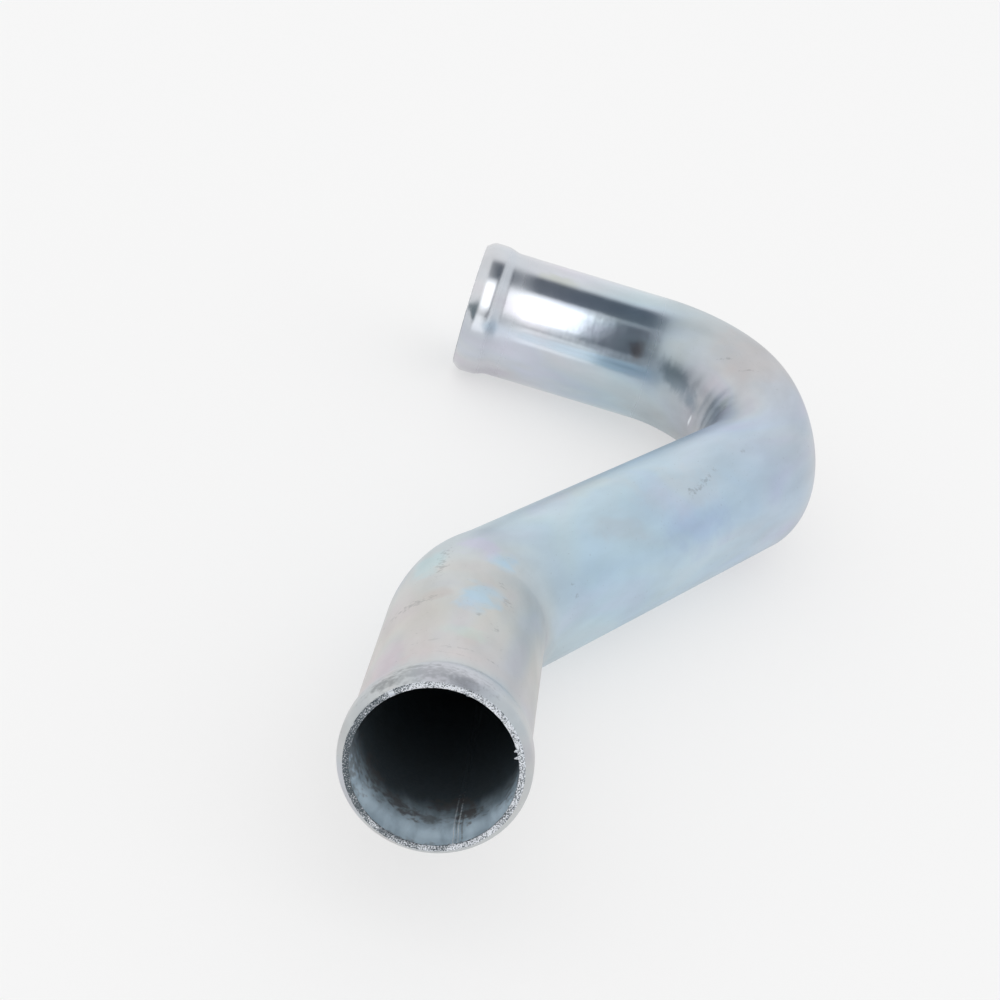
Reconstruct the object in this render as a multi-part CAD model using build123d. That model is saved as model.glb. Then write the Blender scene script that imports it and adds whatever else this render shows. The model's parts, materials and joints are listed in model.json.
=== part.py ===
from build123d import *
import os
from math import cos, pi, radians, sin, tan

import numpy as np

# Bent hose pipe: one length of welded steel tube, bent twice the opposite way,
# with a rolled hose bead at each mouth. Millimetres, +Z up. The pipe lies as it
# comes to rest on a floor at Z 0. The mouth of its near leg faces -X, and the origin
# is under the middle of its bounding box.

# Tube stock
tube_od = 60.0
wall = 1.6

# Run of the centre line, from the near mouth to the far one
near_leg = 120.0
first_bend_angle = 36.0
middle_leg = 168.0
second_bend_angle = 122.5
far_leg = 91.0
bend_radius = 60.0
plane_turn_angle = -154.5  # plane of the second bend from that of the first, about the middle leg

# What bending does to the round section, at the middle of each bend
first_spread = 1.5  # wider, each side
second_spread = 2.5
first_heel_drop = 0.6  # outside of the bend pressed flat
second_heel_drop = 15.0
second_throat_drop = 0.8  # inside of the bend
squash_power = 1.3  # how gently the flattening starts and ends
section_step_angle = 16.0  # between sections along a bend, at most

# Hose bead rolled into each mouth, lengths from the cut edge
crest_start = 4.5
crest_end = 10.0
bead_length = 17.0
crest_rise = 1.7
lip_drop = 1.0  # cut edge drawn in below the tube's radius
lip_angle = 42.0  # off the axis, where the lip leaves the cut edge
lip_land = 1.2  # straight bore inside the cut edge

# Search for the way it rests
skin_tolerance = 0.05
widest_tilt = 10.0  # degrees
finest_tilt = 0.0001
tries_round = 48

radius = tube_od / 2


# Sections across the tube

def squashed_disc(heel, throat, side):
    """Disc with the heel of the bend on -X, its throat on +X and its sides on Y."""
    inner_half = EllipticalCenterArc((0, 0), throat, side, -90, arc_size=180)
    outer_half = EllipticalCenterArc((0, 0), heel, side, 90, arc_size=180)
    return make_face(Curve() + [inner_half, outer_half])


# Straight legs

def plain_leg(length):
    """Round tube from the origin up Z."""
    outside = Cylinder(radius, length, align=(Align.CENTER, Align.CENTER, Align.MIN))
    bore = Cylinder(radius - wall, length, align=(Align.CENTER, Align.CENTER, Align.MIN))
    return outside - bore


def beaded_leg(length):
    """Leg with its cut mouth at the origin and its plain end up Z."""
    bore = radius - wall
    crest = radius + crest_rise
    flare = (tan(radians(lip_angle)), 1)
    lip = Spline((radius - lip_drop, 0), (crest, crest_start), tangents=[flare, (0, 1)])
    land = Line((crest, crest_start), (crest, crest_end))
    ramp = Spline((crest, crest_end), (radius, bead_length), tangents=[(0, 1), (0, 1)])
    inside = Polyline(
        (radius, bead_length),
        (radius, length),
        (bore, length),
        (bore, bead_length),
        (crest - wall, crest_end),
        (crest - wall, crest_start),
        (bore - lip_drop, lip_land),
        (bore - lip_drop, 0),
        (radius - lip_drop, 0),
    )
    outline = Curve() + [lip, land, ramp, inside]
    return revolve(Plane.XZ * make_face(outline), Axis.Z)


# Bends

def along_bend(angle):
    """Place on the centre line after some degrees of bend towards +X."""
    reach = bend_radius * (1 - cos(radians(angle)))
    rise = bend_radius * sin(radians(angle))
    return Location((reach, 0, rise), (0, angle, 0))


def bend_skin(angle, skin, heel_drop, throat_drop, spread):
    """Solid bend whose skin is round at both ends and squashed in between."""
    count = int(angle / section_step_angle) + 2
    sections = []
    for k in range(count + 1):
        share = k / count
        squash = sin(pi * share) ** squash_power if 0 < k < count else 0
        face = squashed_disc(skin - heel_drop * squash, skin - throat_drop * squash, skin + spread * squash)
        sections.append(along_bend(angle * share) * face)
    return loft(sections)


def tube_bend(angle, heel_drop, throat_drop, spread):
    outside = bend_skin(angle, radius, heel_drop, throat_drop, spread)
    bore = bend_skin(angle, radius - wall, heel_drop, throat_drop, spread)
    return outside - bore


# The whole pipe, from its near mouth

def pipe():
    """Pipe with its near mouth at the origin, and the place of its middle leg."""
    first_start = Pos(0, 0, near_leg)
    middle_start = first_start * along_bend(first_bend_angle) * Rot(0, 0, plane_turn_angle)
    second_start = middle_start * Pos(0, 0, middle_leg)
    far_mouth = second_start * along_bend(second_bend_angle) * Pos(0, 0, far_leg) * Rot(180, 0, 0)
    body = beaded_leg(near_leg)
    body += first_start * tube_bend(first_bend_angle, first_heel_drop, 0, first_spread)
    body += middle_start * plain_leg(middle_leg)
    body += second_start * tube_bend(second_bend_angle, second_heel_drop, second_throat_drop, second_spread)
    body += far_mouth * beaded_leg(far_leg)
    return body, middle_start, far_mouth


# Rest on the floor

def lowest_side(body, guess):
    """Direction that points down when the body rests: its centre of mass then lies lowest."""
    centre = body.center(CenterOf.MASS)
    vertices, _ = body.tessellate(skin_tolerance)
    skin = np.array([tuple(v - centre) for v in vertices])
    down = np.array(tuple(guess))
    height = (skin @ down).max()
    turns = np.linspace(0, 2 * pi, tries_round, endpoint=False)[:, None]
    tilt = widest_tilt
    while tilt > finest_tilt:
        across = np.cross(down, np.roll(down, 1))
        across /= np.linalg.norm(across)
        along = np.cross(down, across)
        tries = down + tan(radians(tilt)) * (np.cos(turns) * across + np.sin(turns) * along)
        tries /= np.linalg.norm(tries, axis=1)[:, None]
        heights = (tries @ skin.T).max(axis=1)
        if heights.min() < height:
            height = heights.min()
            down = tries[heights.argmin()]
        else:
            tilt /= 2
    return Vector(*down)


def on_the_floor(body, middle_start):
    """Place that lays the body on Z 0, with the mouth of its near leg facing -X."""
    near_way = Vector(0, 0, 1)
    down = lowest_side(body, -Plane(middle_start).y_dir)
    seat = Plane(origin=(0, 0, 0), x_dir=near_way - down * near_way.dot(down), z_dir=-down)
    turned = seat.location.inverse()
    box = (turned * body).bounding_box()
    middle = box.center()
    return Pos(-middle.X, -middle.Y, -box.min.Z) * turned


body, middle_start, far_mouth = pipe()
rest = on_the_floor(body, middle_start)
bent_tube = rest * body
bent_tube.label = "bent_tube"

os.makedirs("parts", exist_ok=True)
export_step(bent_tube, "parts/bent_tube.step")

for name, place in (("near mouth", rest), ("far mouth", rest * far_mouth)):
    outwards = -Plane(place).z_dir
    print(name, place.position, "outwards", outwards)
print("middle leg from", (rest * middle_start).position, "along", Plane(rest * middle_start).z_dir)
print("volume", bent_tube.volume, "box", bent_tube.bounding_box())
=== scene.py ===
import json
import math

import bpy
import numpy as np
from mathutils import Matrix, Vector


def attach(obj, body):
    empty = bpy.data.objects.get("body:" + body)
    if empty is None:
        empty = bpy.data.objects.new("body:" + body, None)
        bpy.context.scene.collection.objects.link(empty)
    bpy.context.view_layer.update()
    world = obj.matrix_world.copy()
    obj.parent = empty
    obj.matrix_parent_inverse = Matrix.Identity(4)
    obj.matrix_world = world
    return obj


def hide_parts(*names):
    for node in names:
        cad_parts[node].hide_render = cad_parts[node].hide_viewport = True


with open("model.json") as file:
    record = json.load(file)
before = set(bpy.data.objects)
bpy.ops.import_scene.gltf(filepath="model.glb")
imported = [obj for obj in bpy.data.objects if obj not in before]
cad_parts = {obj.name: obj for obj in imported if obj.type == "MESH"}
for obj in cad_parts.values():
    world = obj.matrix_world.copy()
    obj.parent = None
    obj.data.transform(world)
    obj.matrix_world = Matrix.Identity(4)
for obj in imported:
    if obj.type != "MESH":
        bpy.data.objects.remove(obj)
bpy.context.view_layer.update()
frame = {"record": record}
mm = 0.001

# The pipe's run: straight near leg, first bend, middle leg, second bend, far leg.
pipeRun = {
    "radius": 30 * mm,
    "wall": 1.6 * mm,
    "nearLeg": 120 * mm,
    "firstAngle": math.radians(36),
    "middleLeg": 168 * mm,
    "secondAngle": math.radians(122.5),
    "farLeg": 91 * mm,
    "bendRadius": 60 * mm,
    "ringPoints": 144,
    "legStep": 4 * mm,
    "bendStep": math.radians(2),
    "smoothBelow": math.radians(40),
}
# Pressed bends: how far heel and throat come in and the sides go out, at the middle of the bend.
firstPress = {"heel": 0.6 * mm, "throat": 0, "side": 1.5 * mm, "fold": 0, "folds": 0}
secondPress = {"heel": 15 * mm, "throat": 0.8 * mm, "side": 2.5 * mm,
               "fold": 0.13 * mm, "folds": 11}  # low folds across the throat
pressing = {
    "power": 1.3,  # how gently the flattening starts and ends
    "ringReach": 1.2,  # a ring's points lie within so many radii of its middle
    "secondWave": (0.6, 0.57),  # share and beat of a second wave in the folds
}
# How near a point has to be to count as on a plane, a ring or an edge.
tolerance = {"cut": 0.001 * mm, "plane": 0.01 * mm, "ring": 0.02 * mm, "edge": 0.05 * mm}


def pointsOf(piece):
    found = np.empty(len(piece.data.vertices) * 3)
    piece.data.vertices.foreach_get("co", found)
    return found.reshape(-1, 3)


def editOn(piece):
    bpy.ops.object.select_all(action="DESELECT")
    bpy.context.view_layer.objects.active = piece
    piece.select_set(True)
    bpy.ops.object.mode_set(mode="EDIT")


def pickPoints(piece, mask):  # in edit mode: leaves just these points selected
    bpy.ops.mesh.select_all(action="DESELECT")
    bpy.ops.mesh.select_mode(type="VERT")
    bpy.ops.object.mode_set(mode="OBJECT")
    piece.data.vertices.foreach_set("select", mask)
    bpy.ops.object.mode_set(mode="EDIT")


# Where the run goes, from the mouths that the record states.

def mouthOf(mountName):
    mount = next(m for m in frame["record"]["mounts"] if m["name"] == mountName)
    outwards = Vector(mount["axis"]).normalized()
    return Vector(mount["pos_m"]) + outwards * mount["dims"]["length_mm"] * mm / 2, outwards


def bendAt(wayIn, wayOut, start, angle, press):
    inner = (wayOut - wayIn * wayIn.dot(wayOut)).normalized()
    return {"start": start, "centre": start + inner * pipeRun["bendRadius"], "inner": inner,
            "way": wayIn, "side": wayIn.cross(inner), "angle": angle, "press": press,
            "steps": round(angle / pipeRun["bendStep"])}


nearMouth, nearOut = mouthOf("near_mouth_bore")
farMouth, farOut = mouthOf("far_mouth_bore")
nearWay, farWay = -nearOut, farOut
firstReach = pipeRun["bendRadius"] * math.tan(pipeRun["firstAngle"] / 2)
secondReach = pipeRun["bendRadius"] * math.tan(pipeRun["secondAngle"] / 2)
firstCorner = nearMouth + nearWay * (pipeRun["nearLeg"] + firstReach)
secondCorner = farMouth - farWay * (pipeRun["farLeg"] + secondReach)
middleWay = (secondCorner - firstCorner).normalized()
firstBend = bendAt(nearWay, middleWay, firstCorner - nearWay * firstReach, pipeRun["firstAngle"],
                   firstPress)
secondBend = bendAt(middleWay, farWay, secondCorner - middleWay * secondReach, pipeRun["secondAngle"],
                    secondPress)
middleStart = firstCorner + middleWay * firstReach
farStart = secondCorner + farWay * secondReach
print("run: middle leg", round((secondBend["start"] - middleStart).length / mm, 3), "mm")

# The skin: one ring drawn out along the run.
hoseBead = {
    "lipRadius": 29.0 * mm,
    "lipSlope": math.radians(42),
    "crestStart": 4.5 * mm,
    "crestEnd": 10 * mm,
    "crestRadius": 31.7 * mm,
    "crestCrown": 0.06 * mm,
    "end": 17 * mm,
    # depths of the rings in mm; the first two lie outside the mouth, for the cut
    "rings": [-1.5, -0.75, 0, 0.75, 1.5, 2.25, 3, 3.75, 4.5, 5.6, 6.7, 7.8, 8.9, 10,
              11, 12, 13, 14, 15, 16, 17],
}


def levelEnds(t):  # from 0 to 1, level at both ends
    return 3 * t ** 2 - 2 * t ** 3


def beadRadius(depth):
    lip, slope = hoseBead["lipRadius"], hoseBead["lipSlope"]
    start, end = hoseBead["crestStart"], hoseBead["crestEnd"]
    crest, crown = hoseBead["crestRadius"], hoseBead["crestCrown"]
    shoulder = crest - crown
    if depth <= 0:
        return lip + depth * math.tan(slope)
    if depth < start:
        t = depth / start
        chord = math.hypot(start, crest - lip) * math.sin(slope)
        return lip + levelEnds(t) * (shoulder - lip) + (t ** 3 - 2 * t ** 2 + t) * chord
    if depth <= end:
        offMiddle = (2 * depth - start - end) / (end - start)
        return crest - crown * offMiddle ** 2
    t = min((depth - end) / (hoseBead["end"] - end), 1)
    return shoulder + levelEnds(t) * (pipeRun["radius"] - shoulder)


def drawBead(mouth, way, depths):
    for before, after in zip(depths, depths[1:]):
        bpy.ops.mesh.extrude_region_move(TRANSFORM_OT_translate={"value": way * (after - before)})
        growth = beadRadius(after) / beadRadius(before)
        bpy.ops.transform.resize(value=(growth,) * 3, center_override=mouth + way * after)


def drawStraight(way, length):
    count = round(length / pipeRun["legStep"])
    for _ in range(count):
        bpy.ops.mesh.extrude_region_move(TRANSFORM_OT_translate={"value": way * (length / count)})


def drawBend(bend):  # spin turns by the left hand, so its axis is the other way round
    bpy.ops.mesh.spin(steps=bend["steps"], angle=bend["angle"], center=bend["centre"], axis=-bend["side"])


def pressBend(piece, bend):
    run, press, radius = bend["way"], bend["press"], pipeRun["radius"]
    waveShare, waveBeat = pressing["secondWave"]
    bpy.ops.object.mode_set(mode="OBJECT")
    points = pointsOf(piece)
    bpy.ops.object.mode_set(mode="EDIT")
    for step in range(1, bend["steps"]):
        turn = bend["angle"] * step / bend["steps"]
        heelWay = -bend["inner"] * math.cos(turn) + run * math.sin(turn)
        ringWay = run * math.cos(turn) + bend["inner"] * math.sin(turn)
        centre = bend["centre"] + heelWay * pipeRun["bendRadius"]
        squash = math.sin(math.pi * step / bend["steps"]) ** pressing["power"]
        offset = points - np.array(centre)
        onRing = abs(offset @ np.array(ringWay)) < tolerance["ring"]
        onRing &= np.linalg.norm(offset, axis=1) < pressing["ringReach"] * radius
        outer = offset @ np.array(heelWay) > -tolerance["cut"]
        ringWays = Matrix((heelWay, bend["side"], ringWay)).transposed()
        sideGrowth = 1 + press["side"] * squash / radius
        wave = 2 * math.pi * press["folds"] * step / bend["steps"]
        fold = press["fold"] * (math.cos(wave) + waveShare * math.cos(waveBeat * wave))
        for half, inwards in ((onRing & outer, press["heel"]), (onRing & ~outer, press["throat"] + fold)):
            pickPoints(piece, half)
            bpy.ops.transform.resize(value=(1 - inwards * squash / radius, sideGrowth, 1),
                                     center_override=centre, orient_type="GLOBAL",
                                     orient_matrix_type="GLOBAL", orient_matrix=ringWays)


weldSeam = {  # rolled weld inside the tube: two low ridges side by side
    "around": 83.5,  # degrees
    "finerWithin": 5.2,  # degrees, where the ring is divided finely
    "cuts": 3,
    "rowStep": 0.3 * mm,  # between the rows of points there
    "rowsAside": 5,
    "ridgeApart": 1.5 * mm,
    "ridgeWidth": 0.34 * mm,
    "ridgeHeight": 0.36 * mm,
    "valleyHeight": 0.1 * mm,
    "leastHeight": 0.01 * mm,  # lower rows stay as they are
}


def divideSeam(piece):
    offset = pointsOf(piece) - np.array(nearMouth)
    toSide, toInner = offset @ np.array(firstBend["side"]), offset @ np.array(firstBend["inner"])
    around = np.degrees(np.arctan2(toSide, toInner))
    editOn(piece)
    pickPoints(piece, abs(around - weldSeam["around"]) < weldSeam["finerWithin"])
    bpy.ops.mesh.subdivide(number_cuts=weldSeam["cuts"])


def makeSkin():
    depths = [d * mm for d in hoseBead["rings"]]
    upright = Matrix((firstBend["inner"], firstBend["side"], nearWay)).transposed().to_euler()
    bpy.ops.object.select_all(action="DESELECT")
    bpy.ops.mesh.primitive_circle_add(vertices=pipeRun["ringPoints"], radius=beadRadius(depths[0]),
                                      location=nearMouth + nearWay * depths[0], rotation=upright)
    piece = bpy.context.object
    piece.name = "bent_pipe"
    bpy.ops.object.transform_apply(location=True, rotation=True, scale=True)
    divideSeam(piece)
    bpy.ops.mesh.select_all(action="SELECT")
    drawBead(nearMouth, nearWay, depths)
    drawStraight(nearWay, pipeRun["nearLeg"] - hoseBead["end"])
    drawBend(firstBend)
    drawStraight(middleWay, pipeRun["middleLeg"])
    drawBend(secondBend)
    drawStraight(farWay, pipeRun["farLeg"] - hoseBead["end"])
    drawBead(farMouth, -farWay, depths[::-1])
    pressBend(piece, firstBend)
    pressBend(piece, secondBend)
    bpy.ops.object.mode_set(mode="OBJECT")
    return piece


# The wall, and the mouths cut to length.
mouthCut = {
    "innerRadius": 27.1 * mm,
    "setBack": 0.06 * mm,
    "rows": 4,  # of faces across the cut edge
    "edgeRound": 0.22 * mm,
    "roundSteps": 2,
    "edgeDepth": 1.2,  # the cut edge's own steel goes this many roundings deep
    "ragged": 0.2 * mm,
    "tornSize": 0.6 * mm,
}
burrs = [  # round the mouth in degrees, lift out of the edge, lean into the bore
    {"mouth": "near", "around": -114, "lift": 0.5 * mm, "lean": -0.6 * mm, "size": 0.75},
    {"mouth": "near", "around": -111, "lift": 0.4 * mm, "lean": -0.3 * mm, "size": 0.6},
    {"mouth": "near", "around": -3, "lift": 0.25 * mm, "lean": 1.3 * mm, "size": 0.35},
    {"mouth": "near", "around": -8, "lift": 0.3 * mm, "lean": 0.9 * mm, "size": 0.3},
    {"mouth": "near", "around": 38, "lift": 0.2 * mm, "lean": -0.4 * mm, "size": 0.4},
    {"mouth": "near", "around": -60, "lift": 0.15 * mm, "lean": 0.4 * mm, "size": 0.4},
    {"mouth": "far", "around": -130, "lift": 0.2 * mm, "lean": 0.5 * mm, "size": 0.4},
]
burrGrowth = {
    "outFromBore": 0.35 * mm,
    "steps": (0.5, 0.5),
    "blunt": 0.25,  # added to each burr's size
}
boreSlot, cutSlot = 1, 2  # the plate's is 0


def addModifier(piece, kind, **settings):
    modifier = piece.modifiers.new(kind.title(), kind)
    for name, value in settings.items():
        setattr(modifier, name, value)
    bpy.context.view_layer.objects.active = piece
    bpy.ops.object.modifier_apply(modifier=modifier.name)


def giveWall(piece):
    editOn(piece)
    bpy.ops.mesh.select_all(action="SELECT")
    bpy.ops.mesh.remove_doubles(threshold=tolerance["plane"])
    bpy.ops.mesh.normals_make_consistent(inside=False)
    bpy.ops.object.mode_set(mode="OBJECT")
    addModifier(piece, "SOLIDIFY", thickness=pipeRun["wall"], offset=-1, use_even_offset=True,
                use_rim=False, material_offset=boreSlot)


def depthAndRadius(piece, mouth, way):  # of every point, in edit mode
    bpy.ops.object.mode_set(mode="OBJECT")
    offset = pointsOf(piece) - np.array(mouth)
    bpy.ops.object.mode_set(mode="EDIT")
    depth = offset @ np.array(way)
    return depth, np.linalg.norm(offset - depth[:, None] * np.array(way), axis=1)


def bridgeWalls(piece, cut, way):  # closes the mouth between the inner and outer wall
    depth, radius = depthAndRadius(piece, cut, way)
    onCut = abs(depth) < tolerance["plane"]
    innerRing = onCut & (radius < (mouthCut["innerRadius"] + hoseBead["lipRadius"]) / 2)
    pickPoints(piece, innerRing)
    growth = mouthCut["innerRadius"] / radius[innerRing].mean()
    bpy.ops.transform.resize(value=(growth,) * 3, center_override=cut)
    pickPoints(piece, onCut)
    bpy.ops.mesh.select_mode(type="EDGE")
    bpy.ops.mesh.bridge_edge_loops(number_cuts=mouthCut["rows"] - 1, interpolation="LINEAR")


def roundEdges(piece, cut, way):
    depth, radius = depthAndRadius(piece, cut, way)
    onCut = abs(depth) < tolerance["plane"]
    inner = radius < radius[onCut].min() + tolerance["edge"]
    outer = radius > radius[onCut].max() - tolerance["edge"]
    pickPoints(piece, onCut & (inner | outer))
    bpy.ops.mesh.select_mode(type="EDGE")
    bpy.ops.mesh.bevel(offset=mouthCut["edgeRound"], segments=mouthCut["roundSteps"], affect="EDGES")


def tearEdge(piece, cut, way):  # gives the cut edge its own steel and makes it uneven
    depth, _ = depthAndRadius(piece, cut, way)
    pickPoints(piece, depth < mouthCut["edgeRound"] * mouthCut["edgeDepth"])
    piece.active_material_index = cutSlot
    bpy.ops.object.material_slot_assign()
    bpy.ops.object.vertex_group_assign_new()
    bpy.ops.object.mode_set(mode="OBJECT")
    torn = bpy.data.textures.new("tornEdge", "CLOUDS")
    torn.cloud_type = "COLOR"
    torn.noise_scale = mouthCut["tornSize"]
    addModifier(piece, "DISPLACE", texture=torn, texture_coords="LOCAL", direction="RGB_TO_XYZ",
                vertex_group=piece.vertex_groups.active.name, strength=mouthCut["ragged"])
    bpy.ops.object.vertex_group_remove()


def trimMouth(piece, mouth, way):
    cut = mouth + way * mouthCut["setBack"]
    editOn(piece)
    bpy.ops.mesh.select_all(action="SELECT")
    bpy.ops.mesh.bisect(plane_co=cut, plane_no=-way, clear_outer=True, threshold=tolerance["cut"])
    bridgeWalls(piece, cut, way)
    roundEdges(piece, cut, way)
    tearEdge(piece, cut, way)


def growBurr(piece, burr):  # a sliver of steel left on the cut edge
    turn = math.radians(burr["around"])
    if burr["mouth"] == "near":
        mouth, way = nearMouth, nearWay
        outwards = firstBend["inner"] * math.cos(turn) + firstBend["side"] * math.sin(turn)
    else:
        mouth, way = farMouth, -farWay
        outwards = secondBend["side"] * math.cos(turn) + secondBend["side"].cross(farWay) * math.sin(turn)
    target = np.array(mouth + outwards * (mouthCut["innerRadius"] + burrGrowth["outFromBore"]))
    centres = np.empty(len(piece.data.polygons) * 3)
    piece.data.polygons.foreach_get("center", centres)
    centres = centres.reshape(-1, 3)
    nearest = int(np.linalg.norm(centres - target, axis=1).argmin())
    editOn(piece)
    bpy.ops.mesh.select_mode(type="FACE")
    bpy.ops.mesh.select_all(action="DESELECT")
    bpy.ops.object.mode_set(mode="OBJECT")
    piece.data.polygons[nearest].select = True
    bpy.ops.object.mode_set(mode="EDIT")
    tip = -way * burr["lift"] - outwards * burr["lean"]
    for share in burrGrowth["steps"]:
        bpy.ops.mesh.extrude_region_move(TRANSFORM_OT_translate={"value": tip * share})
        bpy.ops.transform.resize(value=(burr["size"] + burrGrowth["blunt"],) * 3,
                                 center_override=Vector(centres[nearest]) + tip)
    bpy.ops.object.mode_set(mode="OBJECT")


def seamHeight(aside):
    fromRidge = aside - weldSeam["ridgeApart"] / 2
    height = weldSeam["ridgeHeight"] * math.exp(-(fromRidge / weldSeam["ridgeWidth"]) ** 2)
    return max(height, weldSeam["valleyHeight"]) if fromRidge < 0 else height


def raiseSeam(piece, straight):
    corners = np.empty(len(piece.data.loops), dtype=np.int32)
    piece.data.loops.foreach_get("vertex_index", corners)
    faceSlot = np.empty(len(piece.data.polygons), dtype=np.int32)
    piece.data.polygons.foreach_get("material_index", faceSlot)
    faceSize = np.empty(len(piece.data.polygons), dtype=np.int32)
    piece.data.polygons.foreach_get("loop_total", faceSize)
    inside = np.zeros(len(piece.data.vertices), dtype=bool)
    inside[corners[np.repeat(faceSlot, faceSize) == boreSlot]] = True
    around = np.degrees(np.arctan2(straight[:, 1], straight[:, 0])) - weldSeam["around"]
    aside = np.radians(around) * (pipeRun["radius"] - pipeRun["wall"])
    row = np.round(aside / weldSeam["rowStep"])
    editOn(piece)
    for place in range(-weldSeam["rowsAside"], weldSeam["rowsAside"] + 1):
        height = seamHeight(abs(place) * weldSeam["rowStep"])
        if height > weldSeam["leastHeight"]:
            pickPoints(piece, inside & (row == place))
            bpy.ops.transform.shrink_fatten(value=height)
    bpy.ops.object.mode_set(mode="OBJECT")


# The run laid out straight, for patterns that follow the tube.
pastMouth = 2 * mm  # what sticks out of a mouth by less still belongs to its leg


def straighten(points):  # across the tube in x and y, along it from the near mouth in z
    alongX, alongY = np.array(firstBend["inner"]), np.array(firstBend["side"])
    found = np.zeros((len(points), 3))
    nearest = np.full(len(points), np.inf)
    travelled = 0.0

    def keep(across, x, y, z):
        closer = across < nearest
        found[closer] = np.stack([x, y, z], axis=1)[closer]
        nearest[closer] = across[closer]

    def leg(start, way, length):
        offset = points - np.array(start)
        z = offset @ np.array(way)
        before = pastMouth if way == nearWay else 0
        after = pastMouth if way == farWay else 0
        reach = np.clip(z, -before, length + after)
        across = np.linalg.norm(offset - reach[:, None] * np.array(way), axis=1)
        keep(across, offset @ alongX, offset @ alongY, travelled + z)

    def bendPart(bend):
        side, heel, run = np.array(bend["side"]), -np.array(bend["inner"]), np.array(bend["way"])
        offset = points - np.array(bend["centre"])
        turn = np.clip(np.arctan2(offset @ run, offset @ heel), 0, bend["angle"])
        cosine, sine = np.cos(turn)[:, None], np.sin(turn)[:, None]
        offset = offset - (heel * cosine + run * sine) * pipeRun["bendRadius"]
        turned = [v * cosine + np.cross(side, v) * sine + side * (side @ v) * (1 - cosine)
                  for v in (alongX, alongY)]
        x, y = [(offset * t).sum(axis=1) for t in turned]
        keep(np.linalg.norm(offset, axis=1), x, y, travelled + turn * pipeRun["bendRadius"])

    leg(nearMouth, nearWay, pipeRun["nearLeg"])
    travelled += pipeRun["nearLeg"]
    for bend, start, way, length in ((firstBend, middleStart, middleWay, pipeRun["middleLeg"]),
                                     (secondBend, farStart, farWay, pipeRun["farLeg"])):
        bendPart(bend)
        travelled += bend["angle"] * pipeRun["bendRadius"]
        turn = Matrix.Rotation(bend["angle"], 3, bend["side"])
        alongX, alongY = np.array(turn @ Vector(alongX)), np.array(turn @ Vector(alongY))
        leg(start, way, length)
        travelled += length
    return found


def layStraight(piece):
    laid = piece.data.attributes.new("straight", "FLOAT_VECTOR", "POINT")
    laid.data.foreach_set("vector", straighten(pointsOf(piece)).astype(np.float32).ravel())


# Short ways to add shader nodes. A value may be a number, a colour or another node's output.

def feed(tree, socket, value):
    if isinstance(value, bpy.types.NodeSocket):
        tree.links.new(value, socket)
    elif hasattr(value, "__len__") and socket.type == "RGBA":
        socket.default_value = (*value, 1)
    else:
        socket.default_value = value


def addNode(tree, kind, inputs=None, **settings):
    node = tree.nodes.new("ShaderNode" + kind)
    for name, value in settings.items():
        setattr(node, name, value)
    for name, value in (inputs or {}).items():
        feed(tree, node.inputs[name], value)
    return node


def calc(tree, operation, *values):
    return addNode(tree, "Math", dict(enumerate(values)), operation=operation).outputs[0]


def times(tree, value, factor):
    return calc(tree, "MULTIPLY", value, factor)


def joined(tree, operation, total, *others):  # the total with each of the others in turn
    for other in others:
        total = calc(tree, operation, total, other)
    return total


def rise(tree, value, low, high, start=0.0, end=1.0):  # start below low, end above high, smooth between
    inputs = {"Value": value, "From Min": low, "From Max": high, "To Min": start, "To Max": end}
    return addNode(tree, "MapRange", inputs, interpolation_type="SMOOTHSTEP").outputs["Result"]


def between(tree, value, comesIn, goesOut, left=0.0):  # 1 between two slopes, 0 before, left after
    return times(tree, rise(tree, value, *comesIn), rise(tree, value, *goesOut, 1.0, left))


def mixed(tree, share, first, second, way="MIX"):
    node = addNode(tree, "Mix", {"Factor": share}, data_type="RGBA", blend_type=way)
    feed(tree, node.inputs[6], first)
    feed(tree, node.inputs[7], second)
    return node.outputs[2]


def toned(tree, value, stops):  # colour ramp; stops are (position, colour)
    ramp = addNode(tree, "ValToRGB", {"Fac": value})
    elements = ramp.color_ramp.elements
    elements[0].position, elements[0].color = stops[0][0], (*stops[0][1], 1)
    elements[1].position, elements[1].color = stops[-1][0], (*stops[-1][1], 1)
    for place, colour in stops[1:-1]:
        elements.new(place).color = (*colour, 1)
    return ramp.outputs["Color"]


def noiseAt(tree, place, scale, detail=2.0, distortion=0.0):
    inputs = {"Vector": place, "Scale": scale, "Detail": detail, "Distortion": distortion}
    return addNode(tree, "TexNoise", inputs).outputs["Fac"]


def straightPlace(tree):
    return addNode(tree, "Attribute", attribute_name="straight").outputs["Vector"]


def stretched(tree, place, scale):
    return addNode(tree, "Mapping", {"Vector": place, "Scale": scale}).outputs["Vector"]


def newMaterial(name):
    material = bpy.data.materials.new(name)
    material.use_nodes = True
    return material, material.node_tree, material.node_tree.nodes["Principled BSDF"]


def finishSkin(tree, shader, colour, metallic, roughness, bumpDepth, height):
    bump = addNode(tree, "Bump", {"Strength": 1.0, "Distance": bumpDepth, "Height": height})
    feed(tree, shader.inputs["Base Color"], colour)
    feed(tree, shader.inputs["Metallic"], metallic)
    feed(tree, shader.inputs["Roughness"], roughness)
    feed(tree, shader.inputs["Normal"], bump.outputs["Normal"])


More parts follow.
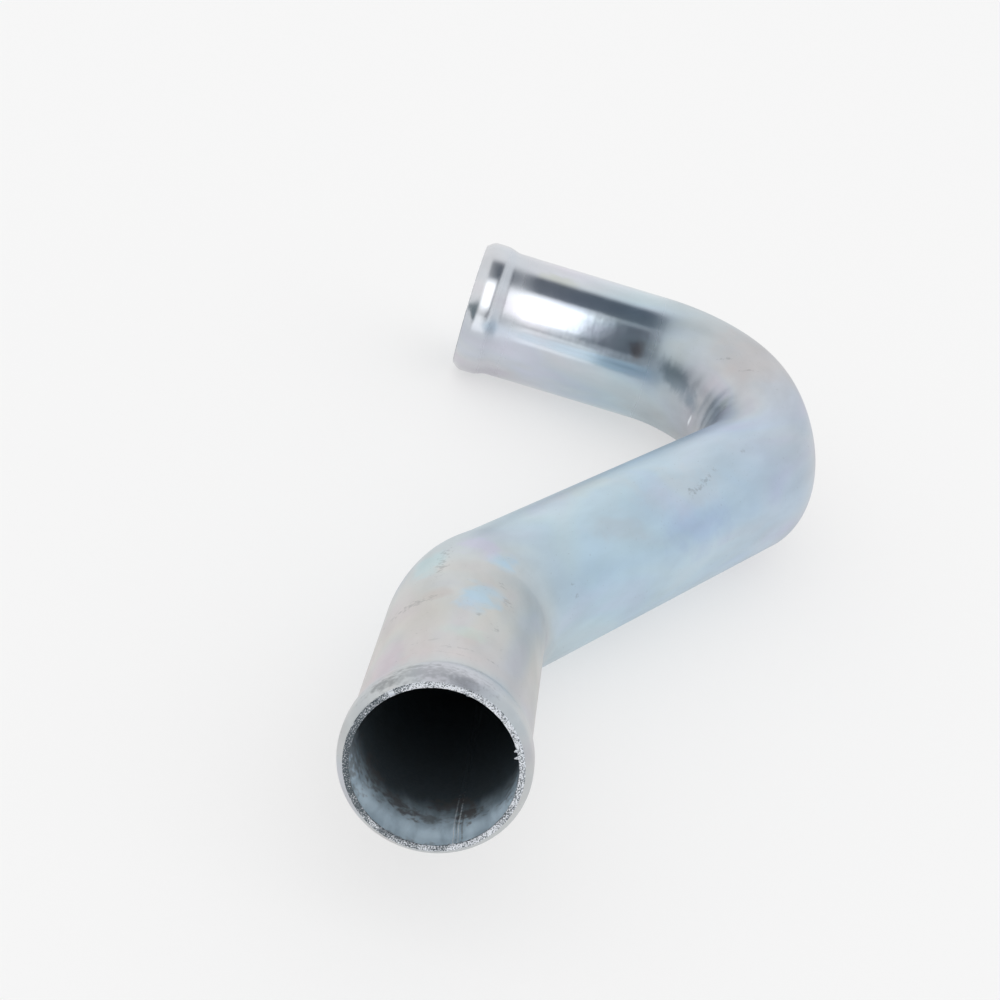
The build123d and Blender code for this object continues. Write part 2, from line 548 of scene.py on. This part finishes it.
# One mark on the tube's wall, placed by degrees round it and metres along it; all three steels use it.
def tubeMarkGroup():
    group = bpy.data.node_groups.new("tubeMark", "ShaderNodeTree")
    group.interface.new_socket(name="Straight", in_out="INPUT", socket_type="NodeSocketVector")
    for name in ("Around", "Along", "Half Width", "Half Length", "Turn", "Ragged", "Soft"):
        group.interface.new_socket(name=name, in_out="INPUT", socket_type="NodeSocketFloat")
    group.interface.new_socket(name="Mask", in_out="OUTPUT", socket_type="NodeSocketFloat")
    given = group.nodes.new("NodeGroupInput").outputs
    x, y, z = addNode(group, "SeparateXYZ", {0: given["Straight"]}).outputs
    turn = calc(group, "RADIANS", given["Turn"])
    cosine, sine = calc(group, "COSINE", turn), calc(group, "SINE", turn)
    angle = calc(group, "SUBTRACT", calc(group, "ARCTAN2", y, x), calc(group, "RADIANS", given["Around"]))
    across = times(group, calc(group, "WRAP", angle, math.pi, -math.pi), pipeRun["radius"])
    beside = calc(group, "SUBTRACT", z, given["Along"])
    u = calc(group, "SUBTRACT", times(group, across, cosine), times(group, beside, sine))
    v = calc(group, "ADD", times(group, beside, cosine), times(group, across, sine))
    u = calc(group, "POWER", calc(group, "DIVIDE", u, given["Half Width"]), 2.0)
    v = calc(group, "POWER", calc(group, "DIVIDE", v, given["Half Length"]), 2.0)
    reach = calc(group, "ADD", calc(group, "SQRT", calc(group, "ADD", u, v)), given["Ragged"])
    mask = rise(group, reach, calc(group, "SUBTRACT", 1.0, given["Soft"]), 1.0, 1.0, 0.0)
    group.links.new(mask, group.nodes.new("NodeGroupOutput").inputs["Mask"])
    return group


tubeMark = tubeMarkGroup()


def markOn(tree, place, spot, border, soft):
    around, along, halfWidth, halfLength, turn = spot
    inputs = {"Straight": place, "Around": around, "Along": along * mm, "Half Width": halfWidth * mm,
              "Half Length": halfLength * mm, "Turn": turn, "Ragged": border, "Soft": soft}
    node = addNode(tree, "Group", node_tree=tubeMark)
    for name, value in inputs.items():
        feed(tree, node.inputs[name], value)
    return node.outputs["Mask"]


def marksOn(tree, place, spots, border, soft):  # the strongest mark at each point
    masks = [times(tree, markOn(tree, place, spot, border, soft), share) for *spot, share in spots]
    return joined(tree, "MAXIMUM", *masks)


def ragged(tree, noise, amount):  # noise about nought, as a mark's border wants it
    return times(tree, calc(tree, "SUBTRACT", noise, 0.5), amount)


plate = {
    "runLength": 545 * mm,
    # share of the run, tint
    "tints": [(0.0, (0.595, 0.605, 0.63)), (0.03, (0.595, 0.605, 0.63)), (0.045, (0.62, 0.59, 0.61)),
              (0.12, (0.615, 0.605, 0.595)), (0.21, (0.60, 0.61, 0.625)), (0.27, (0.56, 0.625, 0.68)),
              (0.33, (0.55, 0.67, 0.76)), (0.46, (0.54, 0.65, 0.75)), (0.57, (0.53, 0.62, 0.74)),
              (0.64, (0.55, 0.585, 0.65)), (0.73, (0.57, 0.56, 0.59)), (0.80, (0.54, 0.585, 0.63)),
              (0.86, (0.55, 0.64, 0.71)), (0.93, (0.63, 0.645, 0.715)), (1.0, (0.64, 0.65, 0.70))],
    "films": [(0.30, (1.0, 0.90, 0.93)), (0.42, (1.0, 0.99, 0.93)), (0.5, (0.95, 1.0, 0.96)),
              (0.58, (0.90, 0.97, 1.0)), (0.70, (0.94, 0.92, 1.0))],
    "filmShare": 0.55,
    # degrees round, mm along, half width, half length, turn, tint, share
    "patches": [
        (-69, 82, 10, 19, 12, (0.49, 0.63, 0.75), 0.95), (-113, 119, 10, 17, 0, (0.52, 0.66, 0.71), 0.75),
        (-57, 127, 8, 12, 0, (0.46, 0.61, 0.75), 0.85), (-78, 133, 13, 14, 0, (0.59, 0.58, 0.71), 0.85),
        (-122, 27, 11, 26, 0, (0.64, 0.53, 0.57), 0.6), (-95, 82, 8, 8, 20, (0.56, 0.50, 0.49), 0.6),
        (-71, 46, 13, 7, 0, (0.58, 0.65, 0.62), 0.6), (-10, 250, 15, 32, 10, (0.42, 0.50, 0.68), 0.4),
        (-60, 231, 10, 26, -10, (0.53, 0.68, 0.80), 0.6), (-78, 507, 5, 14, 0, (0.58, 0.60, 0.53), 0.5),
        (-75, 395, 19, 34, 0, (0.58, 0.55, 0.57), 0.6), (-120, 368, 6, 11, 0, (0.52, 0.57, 0.52), 0.5),
        (-38, 205, 8, 22, 15, (0.55, 0.60, 0.66), 0.5), (-90, 215, 9, 30, 0, (0.60, 0.66, 0.66), 0.4),
        (-48, 250, 16, 34, 8, (0.58, 0.61, 0.67), 0.5), (-88, 305, 12, 26, 0, (0.53, 0.60, 0.72), 0.5),
        # painted reflection: a dark band down the second bend's throat
        (-138, 424, 7.5, 38, 12, (0.24, 0.29, 0.34), 0.75),
        # painted highlight: a bright spot in the second bend's throat
        (-165, 402, 5, 2.2, 25, (0.98, 0.99, 1.0), 1.0)],
    "brownStain": (-125, 463, 7, 6, 0),
    "brown": (0.28, 0.20, 0.17),
    "brownShare": 0.55,
    # dry scuffs: degrees round, mm along, half width, half length, turn, share
    "scuffs": [(-117, 79, 15, 4, 0, 0.3), (-100, 116, 3.5, 18, 0, 0.3), (-48, 89, 2.5, 4, 0, 0.3),
               (-55, 102, 2, 4, 0, 0.25), (-66, 65, 1.6, 2.2, 0, 0.3), (-53, 58, 1.3, 4, 10, 0.3),
               (-52, 29, 3.4, 0.9, 0, 0.35), (-16, 167, 1.2, 1.2, 0, 0.35), (-6, 167, 1.2, 2.4, 0, 0.3),
               (-97, 406, 1.0, 8, -30, 0.3), (-91, 388, 1.2, 6, -44, 0.25), (-120, 363, 2.2, 4, 0, 0.3),
               (-54, 301, 1.4, 3, 0, 0.25), (-43, 266, 1.8, 16, -16, 0.3), (-40, 256, 2.5, 4, 0, 0.35),
               (-72, 30, 10, 1.2, -8, 0.16), (-76, 24, 12, 1.0, 6, 0.14), (-90, 36, 10, 1.1, -10, 0.14)],
    # grey places on the beads near the mouths, the same way
    "beadGreys": [(-88, 4, 25, 5.5, 0, 0.36), (-67, 3, 8, 2.6, 0, 0.36), (-95, 8, 12, 2, 0, 0.42),
                (-114, 3.4, 8, 3.5, 0, 0.55)],
    "markGrey": (0.20, 0.21, 0.22),
    # how ragged and how soft the borders are
    "patchEdge": (1.5, 0.8),
    "brownSoft": 0.9,
    "scuffEdge": (3.8, 0.8),
    "scuffShrink": 0.3,
    "beadGreyEdge": (2.6, 0.95),
    # noises: scale, detail, distortion
    "coarse": (110.0, 4.0, 0.4),
    "fine": (620.0, 4.0),
    "filmNoise": (26.0, 2.0, 0.8),
    "cloudNoise": (85.0, 4.0),
    "smokeNoise": (520.0, 5.0),
    "speckNoise": (900.0, 1.0),
    "drawnNoise": (1.0, 2.0),
    "swellNoise": (70.0, 2.0),
    # how often some of them repeat across the tube, twice, and along it
    "filmRepeat": (1.0, 1.0, 0.55),
    "cloudRepeat": (1.0, 1.0, 0.4),
    "smokeRepeat": (1.0, 1.0, 1.6),
    "drawnRepeat": (14.0, 14.0, 420.0),
    "cloudShade": (0.25, 0.75, 0.93, 1.05),
    "speckShare": (0.71, 0.78, 0.0, 0.2),
    "roughLegs": 0.38,
    "roughFarLeg": 0.155,
    "glossFrom": 0.446,
    "glossTo": 0.466,
    "roughRamp": 0.14,  # added where the far bead rises
    "rampFrom": (0.514, 0.526),
    "rampTo": (0.531, 0.536),
    "rampLeft": 0.3,
    "roughCoarse": 0.05,
    "roughMarks": 0.25,
    "heights": {"fine": 0.20, "drawn": 0.35, "swell": 2.0, "worn": 1.2},
    "bumpDepth": 0.03 * mm,
}


def zincPlate():
    material, tree, shader = newMaterial("zincPlate")
    place = straightPlace(tree)
    along = addNode(tree, "SeparateXYZ", {0: place}).outputs[2]
    coarse = noiseAt(tree, place, *plate["coarse"])
    fine = noiseAt(tree, place, *plate["fine"])
    colour = toned(tree, calc(tree, "DIVIDE", along, plate["runLength"]), plate["tints"])
    rough, soft = plate["patchEdge"]
    border = ragged(tree, coarse, rough)
    for *spot, tint, share in plate["patches"]:
        mask = times(tree, markOn(tree, place, spot, border, soft), share)
        colour = mixed(tree, mask, colour, tint)
    film = noiseAt(tree, stretched(tree, place, plate["filmRepeat"]), *plate["filmNoise"])
    colour = mixed(tree, plate["filmShare"], colour, toned(tree, film, plate["films"]), "MULTIPLY")
    cloud = noiseAt(tree, stretched(tree, place, plate["cloudRepeat"]), *plate["cloudNoise"])
    colour = mixed(tree, 1.0, colour, rise(tree, cloud, *plate["cloudShade"]), "MULTIPLY")
    brown = markOn(tree, place, plate["brownStain"], border, plate["brownSoft"])
    colour = mixed(tree, times(tree, brown, plate["brownShare"]), colour, plate["brown"])
    rough, soft = plate["scuffEdge"]
    border = calc(tree, "ADD", ragged(tree, fine, rough), plate["scuffShrink"])
    worn = marksOn(tree, place, plate["scuffs"], border, soft)
    rough, soft = plate["beadGreyEdge"]
    smoke = noiseAt(tree, stretched(tree, place, plate["smokeRepeat"]), *plate["smokeNoise"])
    beadGreyed = marksOn(tree, place, plate["beadGreys"], ragged(tree, smoke, rough), soft)
    specks = rise(tree, noiseAt(tree, place, *plate["speckNoise"]), *plate["speckShare"])
    marks = joined(tree, "MAXIMUM", worn, beadGreyed, specks)
    colour = mixed(tree, marks, colour, plate["markGrey"])
    roughness = rise(tree, along, plate["glossFrom"], plate["glossTo"], plate["roughLegs"],
                     plate["roughFarLeg"])
    ramp = between(tree, along, plate["rampFrom"], plate["rampTo"], plate["rampLeft"])
    roughness = joined(tree, "ADD", roughness, times(tree, ramp, plate["roughRamp"]),
                       ragged(tree, coarse, plate["roughCoarse"]), times(tree, marks, plate["roughMarks"]))
    drawn = noiseAt(tree, stretched(tree, place, plate["drawnRepeat"]), *plate["drawnNoise"])
    swell = noiseAt(tree, place, *plate["swellNoise"])
    heights = plate["heights"]
    height = joined(tree, "ADD", times(tree, fine, heights["fine"]), times(tree, drawn, heights["drawn"]),
                    times(tree, swell, heights["swell"]))
    height = calc(tree, "SUBTRACT", height, times(tree, worn, heights["worn"]))
    finishSkin(tree, shader, colour, 1, roughness, plate["bumpDepth"], height)
    return material


bore = {
    "wall": (0.76, 0.90, 1.0),
    "dull": (0.53, 0.65, 0.74),
    "dullFrom": (0.3, 0.75),
    "deepShade": (0.10, 0.12, 0.135),  # painted shade: the bore darkens to this deeper into the tube
    "shadeDepths": (13 * mm, 37 * mm),
    "shadeRagged": 14 * mm,
    "stainAndSeamShade": (0.16, 0.145, 0.14),
    "seamHighlight": (0.9, 0.94, 0.97),
    # degrees round, mm along, half width, half length, turn, share
    "stains": [(122, 24, 13, 6, -25, 0.8), (104, 22, 9, 5, -10, 0.6), (76, 24, 7, 8, 20, 0.9),
               (88, 33, 11, 7, 0, 0.75), (150, 30, 8, 15, 20, 0.7), (40, 24, 5, 9, 0, 0.5),
               (118, 5.5, 22, 2.6, 0, 0.45), (180, 16, 15, 24, 0, 0.6), (18, 16, 16, 26, 0, 0.65)],
    # painted highlights on the weld seam's two ridges, and painted shade between and beside them
    "seamHighlights": [(81.9, 18, 0.36, 26, 0, 0.8), (85.1, 18, 0.36, 26, 0, 0.8)],
    "seamShades": [(83.5, 18, 0.3, 26, 0, 0.6), (79.6, 18, 0.5, 26, 0, 0.55)],
    # how ragged and how soft the borders are
    "stainEdge": (3.2, 0.95),
    "seamEdge": (1.6, 0.9),
    # noises: scale, detail, distortion
    "fine": (900.0, 4.0),
    "stainNoise": (420.0, 6.0),
    "streakNoise": (3.0, 4.0, 0.5),
    "streakRepeat": (60.0, 60.0, 22.0),
    "metallic": 0.15,
    "roughness": (0.2, 0.8, 0.45, 0.65),
    "bumpDepth": 0.03 * mm,
}


def boreSkin():
    material, tree, shader = newMaterial("boreSkin")
    place = straightPlace(tree)
    along = addNode(tree, "SeparateXYZ", {0: place}).outputs[2]
    fine = noiseAt(tree, place, *bore["fine"])
    streaks = noiseAt(tree, stretched(tree, place, bore["streakRepeat"]), *bore["streakNoise"])
    colour = mixed(tree, rise(tree, streaks, *bore["dullFrom"]), bore["wall"], bore["dull"])
    # painted shade: the bore grows darker with depth from either mouth, with a ragged border
    depth = calc(tree, "MINIMUM", along, calc(tree, "SUBTRACT", plate["runLength"], along))
    depth = calc(tree, "ADD", depth, ragged(tree, streaks, bore["shadeRagged"]))
    colour = mixed(tree, rise(tree, depth, *bore["shadeDepths"]), colour, bore["deepShade"])
    rough, soft = bore["stainEdge"]
    border = ragged(tree, noiseAt(tree, place, *bore["stainNoise"]), rough)
    stained = marksOn(tree, place, bore["stains"], border, soft)
    colour = mixed(tree, stained, colour, bore["stainAndSeamShade"])
    rough, soft = bore["seamEdge"]
    border = ragged(tree, fine, rough)
    # the seam is painted: shade in the stain colour between and beside its ridges, highlights on them
    for name, tint in (("seamShades", bore["stainAndSeamShade"]), ("seamHighlights", bore["seamHighlight"])):
        for *spot, share in bore[name]:
            mask = times(tree, markOn(tree, place, spot, border, soft), share)
            colour = mixed(tree, mask, colour, tint)
    roughness = rise(tree, fine, *bore["roughness"])
    finishSkin(tree, shader, colour, bore["metallic"], roughness, bore["bumpDepth"], fine)
    return material


cutEdge = {
    "bright": (0.85, 0.88, 0.93),
    "dark": (0.10, 0.12, 0.135),
    "brightFrom": (0.41, 0.65),
    "shearedSide": (-10, 0.08),  # degrees round, where the cut is smooth and bright, and how much
    "shearedEnds": (-75, 0.05),  # and again, here and opposite
    "nub": (-112.5, 0, 1.3, 2.5, 0),
    "nubSoft": 0.4,
    # noises: scale, detail
    "grain": (2000.0, 4.0),
    "torn": (200.0, 2.0),
    "tornAmount": 0.35,
    "glints": (2600.0, 1.0),
    "glintShare": (0.60, 0.68, 0.0, 0.7),
    "roughness": 0.3,
    "bumpDepth": 0.05 * mm,
}


def cutEdgeSteel():
    material, tree, shader = newMaterial("cutEdgeSteel")
    place = straightPlace(tree)
    x, y, _ = addNode(tree, "SeparateXYZ", {0: place}).outputs
    around = calc(tree, "ARCTAN2", y, x)
    sheared = []
    for name, count in (("shearedSide", 1.0), ("shearedEnds", 2.0)):
        degreesRound, amount = cutEdge[name]
        turn = times(tree, calc(tree, "SUBTRACT", around, math.radians(degreesRound)), count)
        sheared.append(times(tree, calc(tree, "COSINE", turn), amount))
    grain = noiseAt(tree, place, *cutEdge["grain"])
    torn = ragged(tree, noiseAt(tree, place, *cutEdge["torn"]), cutEdge["tornAmount"])
    share = rise(tree, joined(tree, "ADD", grain, torn, *sheared), *cutEdge["brightFrom"])
    glints = rise(tree, noiseAt(tree, place, *cutEdge["glints"]), *cutEdge["glintShare"])
    nub = markOn(tree, place, cutEdge["nub"], 0.0, cutEdge["nubSoft"])
    colour = mixed(tree, joined(tree, "MAXIMUM", share, glints, nub), cutEdge["dark"], cutEdge["bright"])
    finishSkin(tree, shader, colour, 1, cutEdge["roughness"], cutEdge["bumpDepth"], grain)
    return material


pipe = makeSkin()
for make in (zincPlate, boreSkin, cutEdgeSteel):
    pipe.data.materials.append(make())
print("skin:", len(pipe.data.vertices), "points,", len(pipe.data.materials), "materials")
giveWall(pipe)
trimMouth(pipe, nearMouth, nearWay)
trimMouth(pipe, farMouth, -farWay)
raiseSeam(pipe, straighten(pointsOf(pipe)))
for burr in burrs:
    growBurr(pipe, burr)
layStraight(pipe)
bpy.ops.object.shade_smooth_by_angle(angle=pipeRun["smoothBelow"])
pipe.data.calc_loop_triangles()
print("walls, mouths, seam and burrs:", len(pipe.data.vertices), "points,",
      len(pipe.data.loop_triangles), "triangles")
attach(pipe, "root")
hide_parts("bent_tube")

# Floor, light and camera.
studio = {
    "floorSize": 6.0,
    "floorGrey": (0.93, 0.93, 0.93),
    "floorRoughness": 0.8,
    "floorWhite": 0.5,  # share of plain white that camera and gloss see in the floor
    "cameraPlace": (-0.72498, 0.06648, 0.48506),
    "cameraTurn": (57.305, -14.918, -82.061),
    "lens": 75.435,
    "sensor": 36,
    # softbox of gridded strips that curves round the far leg; pitch is degrees up from the camera's side
    "legAxis": (0.18, 0.0, 0.03),
    "stripReach": 0.35,
    "stripStep": 5,
    "strips": [(22, 0.3), (27, 0.6), (32, 1), (37, 1), (42, 1), (47, 1), (52, 1), (57, 1), (62, 1), (67, 1),
               (72, 0.6), (77, 0.3)],
    "stripStart": 0.024,  # along y, at the pitch of slantFrom
    "stripSlant": 0.00028,  # further start per degree below that
    "slantFrom": 62,
    "stripEnd": 0.105,
    "stripLight": 3.0,
    "stripSpread": 20,
    # low light in the gap between the near and far legs, seen in the far one
    "gapPlace": (0.05, 0.06, 0.036),
    "gapSize": (0.06, 0.082),  # height, and along y
    "gapTurn": (0, -90, 0),
    "gapSpread": 80,
    "gapStrength": 0.55,
}


def paleFloor():  # matt, and whiter to camera and gloss than it is lit
    material, tree, shader = newMaterial("paleFloor")
    feed(tree, shader.inputs["Base Color"], studio["floorGrey"])
    feed(tree, shader.inputs["Roughness"], studio["floorRoughness"])
    rays = addNode(tree, "LightPath").outputs
    seen = calc(tree, "MAXIMUM", rays["Is Camera Ray"], rays["Is Glossy Ray"])
    white = addNode(tree, "Emission").outputs["Emission"]
    shares = {0: times(tree, seen, studio["floorWhite"]), 1: shader.outputs[0], 2: white}
    paint = addNode(tree, "MixShader", shares)
    feed(tree, tree.nodes["Material Output"].inputs["Surface"], paint.outputs[0])
    return material


bpy.ops.object.select_all(action="DESELECT")
bpy.ops.mesh.primitive_plane_add(size=studio["floorSize"], location=(0, 0, 0))
floor = bpy.context.object
floor.name = "floor"
floor.data.materials.append(paleFloor())

# What stands round about. The dark zones are seen in gloss alone: pitch is degrees up from the camera's
# side, y is the sideways part of the way, and each pair is where a border starts and ends.
surround = {
    "camera": (1.0, 1.0, 1.0),
    "light": (0.92, 0.92, 0.92),
    "gloss": (1.0, 1.0, 1.0),
    "glossAside": (0.80, 0.84, 0.88),
    "aside": (-0.1, 1.0),
    "zones": [
        {"pitch": ((72.0, 84.0), (112.0, 127.0)), "from": (-0.34, -0.22), "to": (0.045, 0.12),
         "colour": (0.12, 0.14, 0.17)},  # overhead
        {"pitch": ((-50.0, -12.0), (26.0, 42.0)), "from": (0.08, 0.18),
         "colour": (0.20, 0.24, 0.26)},  # beyond the second bend
        {"pitch": ((0.0, 8.0), (70.0, 84.0)), "from": (-0.30, -0.16), "to": (-0.01, 0.01),
         "lean": (18.0, 28.0, -0.015, 0.05), "colour": (0.05, 0.06, 0.08)},  # the camera's side
    ],
}


def studioWorld():  # white round about, with dark zones for the plate to show
    world = bpy.data.worlds.new("studio")
    bpy.context.scene.world = world
    world.use_nodes = True
    tree = world.node_tree
    looking = addNode(tree, "TexCoord").outputs["Generated"]
    wayX, wayY, wayZ = addNode(tree, "SeparateXYZ", {0: looking}).outputs
    pitch = calc(tree, "DEGREES", calc(tree, "ARCTAN2", wayZ, times(tree, wayX, -1.0)))
    aside = rise(tree, times(tree, wayY, -1.0), *surround["aside"])
    gloss = mixed(tree, aside, surround["gloss"], surround["glossAside"])
    for zone in surround["zones"]:
        share = times(tree, between(tree, pitch, *zone["pitch"]), rise(tree, wayY, *zone["from"]))
        pastEdge = wayY
        if "lean" in zone:  # the far border lies further over where pitch is greater
            pastEdge = calc(tree, "SUBTRACT", wayY, rise(tree, pitch, *zone["lean"]))
        if "to" in zone:
            share = times(tree, share, rise(tree, pastEdge, *zone["to"], 1.0, 0.0))
        gloss = mixed(tree, share, gloss, zone["colour"])
    rays = addNode(tree, "LightPath").outputs
    plain = mixed(tree, rays["Is Glossy Ray"], surround["light"], gloss)
    background = tree.nodes["Background"]
    feed(tree, background.inputs["Color"], mixed(tree, rays["Is Camera Ray"], plain, surround["camera"]))
    background.inputs["Strength"].default_value = 1


studioWorld()
print("floor, and the world round it")


def areaLamp(name, place, turn, size, strength, spreadAngle):
    spread = math.radians(spreadAngle / 2)
    bpy.ops.object.light_add(type="AREA", location=place, rotation=turn)
    lamp = bpy.context.object
    lamp.name = name
    lamp.data.shape = "RECTANGLE"
    lamp.data.size, lamp.data.size_y = size
    lamp.data.spread = 2 * spread
    gridded = 1 - spread / math.tan(spread)  # what the grid leaves of the light
    lamp.data.energy = strength * math.pi * size[0] * size[1] * gridded
    lamp.visible_camera = False


def lightStrip(pitch, share):
    turn = math.radians(pitch)
    outwards = Vector((-math.cos(turn), 0, math.sin(turn)))
    start = studio["stripStart"] + (studio["slantFrom"] - pitch) * studio["stripSlant"]
    middle = Vector((0, (start + studio["stripEnd"]) / 2, 0))
    place = Vector(studio["legAxis"]) + outwards * studio["stripReach"] + middle
    size = (studio["stripEnd"] - start, studio["stripReach"] * math.radians(studio["stripStep"]))
    areaLamp("strip", place, (-outwards).to_track_quat("-Z", "Y").to_euler(), size,
             studio["stripLight"] * share, studio["stripSpread"])


for pitch, share in studio["strips"]:
    lightStrip(pitch, share)
areaLamp("gapLight", studio["gapPlace"], [math.radians(a) for a in studio["gapTurn"]], studio["gapSize"],
         studio["gapStrength"], studio["gapSpread"])
print("light: strips round the far leg, light in the gap")

bpy.ops.object.camera_add(location=studio["cameraPlace"],
                          rotation=[math.radians(a) for a in studio["cameraTurn"]])
camera = bpy.context.object
camera.name = "camera"
camera.data.sensor_width = studio["sensor"]
camera.data.lens = studio["lens"]
bpy.context.scene.camera = camera
bpy.context.scene.view_settings.view_transform = "Standard"
print("camera:", studio["lens"], "mm lens")
